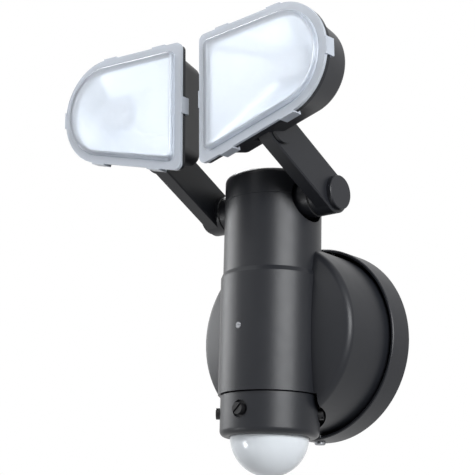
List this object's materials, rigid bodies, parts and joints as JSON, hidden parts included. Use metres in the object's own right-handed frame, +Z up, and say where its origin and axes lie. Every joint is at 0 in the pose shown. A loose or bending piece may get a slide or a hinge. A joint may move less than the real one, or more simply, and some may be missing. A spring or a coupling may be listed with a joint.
{
  "type": "motion sensor security light",
  "caption": "Wall-mounted outdoor security light with tilting lamp heads on swing arms, an upright round body, and a turning motion sensor with a domed lens below.",
  "frame": {"origin": "centre of the wall plate's back face, midway between its two screw slots", "axes": "+Z up, -Y out of the wall, +X to the right as seen from the front"},
  "size_m": [0.2022, 0.1448, 0.2502],
  "materials": {
    "charcoal_plastic": "satin moulded",
    "black_plastic": "satin",
    "clear_cover": "clear moulded, polished",
    "sensor_lens": "milky, semi-gloss",
    "reflector_white": "bright white gloss",
    "black_rubber": "matt",
    "foam": "matt foam",
    "screw_steel": "zinc plated",
    "heat_aluminium": "plain",
    "circuit_board": "solder mask",
    "white_board": "white solder mask",
    "led_yellow": "phosphor",
    "diffuser_opal": "opal, satin",
    "terminal_cream": "plain",
    "component_grey": "plain",
    "sensor_can": "nickel"
  },
  "bodies": {
    "base": {"wall_plate": "charcoal_plastic", "wall_seal": "foam", "cable_grommet": "black_rubber", "rim_seal": "black_rubber", "terminal_block": "terminal_cream", "lock_screw": "screw_steel", "main_housing": "charcoal_plastic", "front_cover": "charcoal_plastic", "cover_screw": "screw_steel", "tower_cap": "charcoal_plastic", "crossbar": "charcoal_plastic", "driver_board": "circuit_board", "driver_parts": "component_grey", "collar_retainer": "black_plastic", "arm_washer_left": "black_rubber", "arm_spring_left": "screw_steel", "arm_bolt_left": "screw_steel", "arm_washer_right": "black_rubber", "arm_spring_right": "screw_steel", "arm_bolt_right": "screw_steel"},
    "arm_assembly_left": {"arm_left": "charcoal_plastic", "arm_cap_left": "charcoal_plastic"},
    "lamp_head_left": {"lamp_housing_left": "charcoal_plastic", "tilt_pin_left": "screw_steel", "heat_plate_left": "heat_aluminium", "led_board_left": "white_board", "led_chips_left": "led_yellow", "lamp_diffuser_left": "diffuser_opal", "lamp_reflector_left": "reflector_white", "lamp_seal_left": "black_rubber", "lamp_lens_left": "clear_cover"},
    "arm_assembly_right": {"arm_right": "charcoal_plastic", "arm_cap_right": "charcoal_plastic"},
    "lamp_head_right": {"lamp_housing_right": "charcoal_plastic", "tilt_pin_right": "screw_steel", "heat_plate_right": "heat_aluminium", "led_board_right": "white_board", "led_chips_right": "led_yellow", "lamp_diffuser_right": "diffuser_opal", "lamp_reflector_right": "reflector_white", "lamp_seal_right": "black_rubber", "lamp_lens_right": "clear_cover"},
    "sensor_head": {"sensor_collar": "charcoal_plastic", "sensor_dome": "sensor_lens", "sensor_board": "circuit_board", "motion_sensor": "sensor_can", "trim_pots": "component_grey"},
    "adjuster_left": {"knob_left": "black_plastic"},
    "adjuster_front": {"knob_front": "black_plastic"},
    "adjuster_right": {"knob_right": "black_plastic"}
  },
  "joints": [
    {"name": "arm_left_tilt", "type": "hinge", "parent": "base", "child": "arm_assembly_left", "pos_m": [-0.044, -0.058, 0.0794], "axis": [-1, 0, 0], "range_deg": [-38, 60]},
    {"name": "head_left_tilt", "type": "hinge", "parent": "arm_assembly_left", "child": "lamp_head_left", "pos_m": [-0.044, -0.11183, 0.1059], "axis": [-1, 0, 0], "range_deg": [-60, 24]},
    {"name": "arm_right_tilt", "type": "hinge", "parent": "base", "child": "arm_assembly_right", "pos_m": [0.044, -0.058, 0.0794], "axis": [-1, 0, 0], "range_deg": [-38, 60]},
    {"name": "head_right_tilt", "type": "hinge", "parent": "arm_assembly_right", "child": "lamp_head_right", "pos_m": [0.044, -0.11183, 0.1059], "axis": [-1, 0, 0], "range_deg": [-60, 24]},
    {"name": "sensor_pan", "type": "hinge", "parent": "base", "child": "sensor_head", "pos_m": [0, -0.058, -0.05], "axis": [0, 0, 1], "range_deg": [-45, 45]},
    {"name": "knob_left_turn", "type": "hinge", "parent": "sensor_head", "child": "adjuster_left", "pos_m": [-0.02493, -0.07358, -0.0484], "axis": [-0.848, -0.5299, 0], "range_deg": [-135, 135]},
    {"name": "knob_front_turn", "type": "hinge", "parent": "sensor_head", "child": "adjuster_front", "pos_m": [0.00103, -0.08738, -0.0484], "axis": [0.0349, -0.9994, 0], "range_deg": [-135, 135]},
    {"name": "knob_right_turn", "type": "hinge", "parent": "sensor_head", "child": "adjuster_right", "pos_m": [0.02546, -0.0433, -0.0484], "axis": [0.866, 0.5, 0], "range_deg": [-135, 135]}
  ]
}
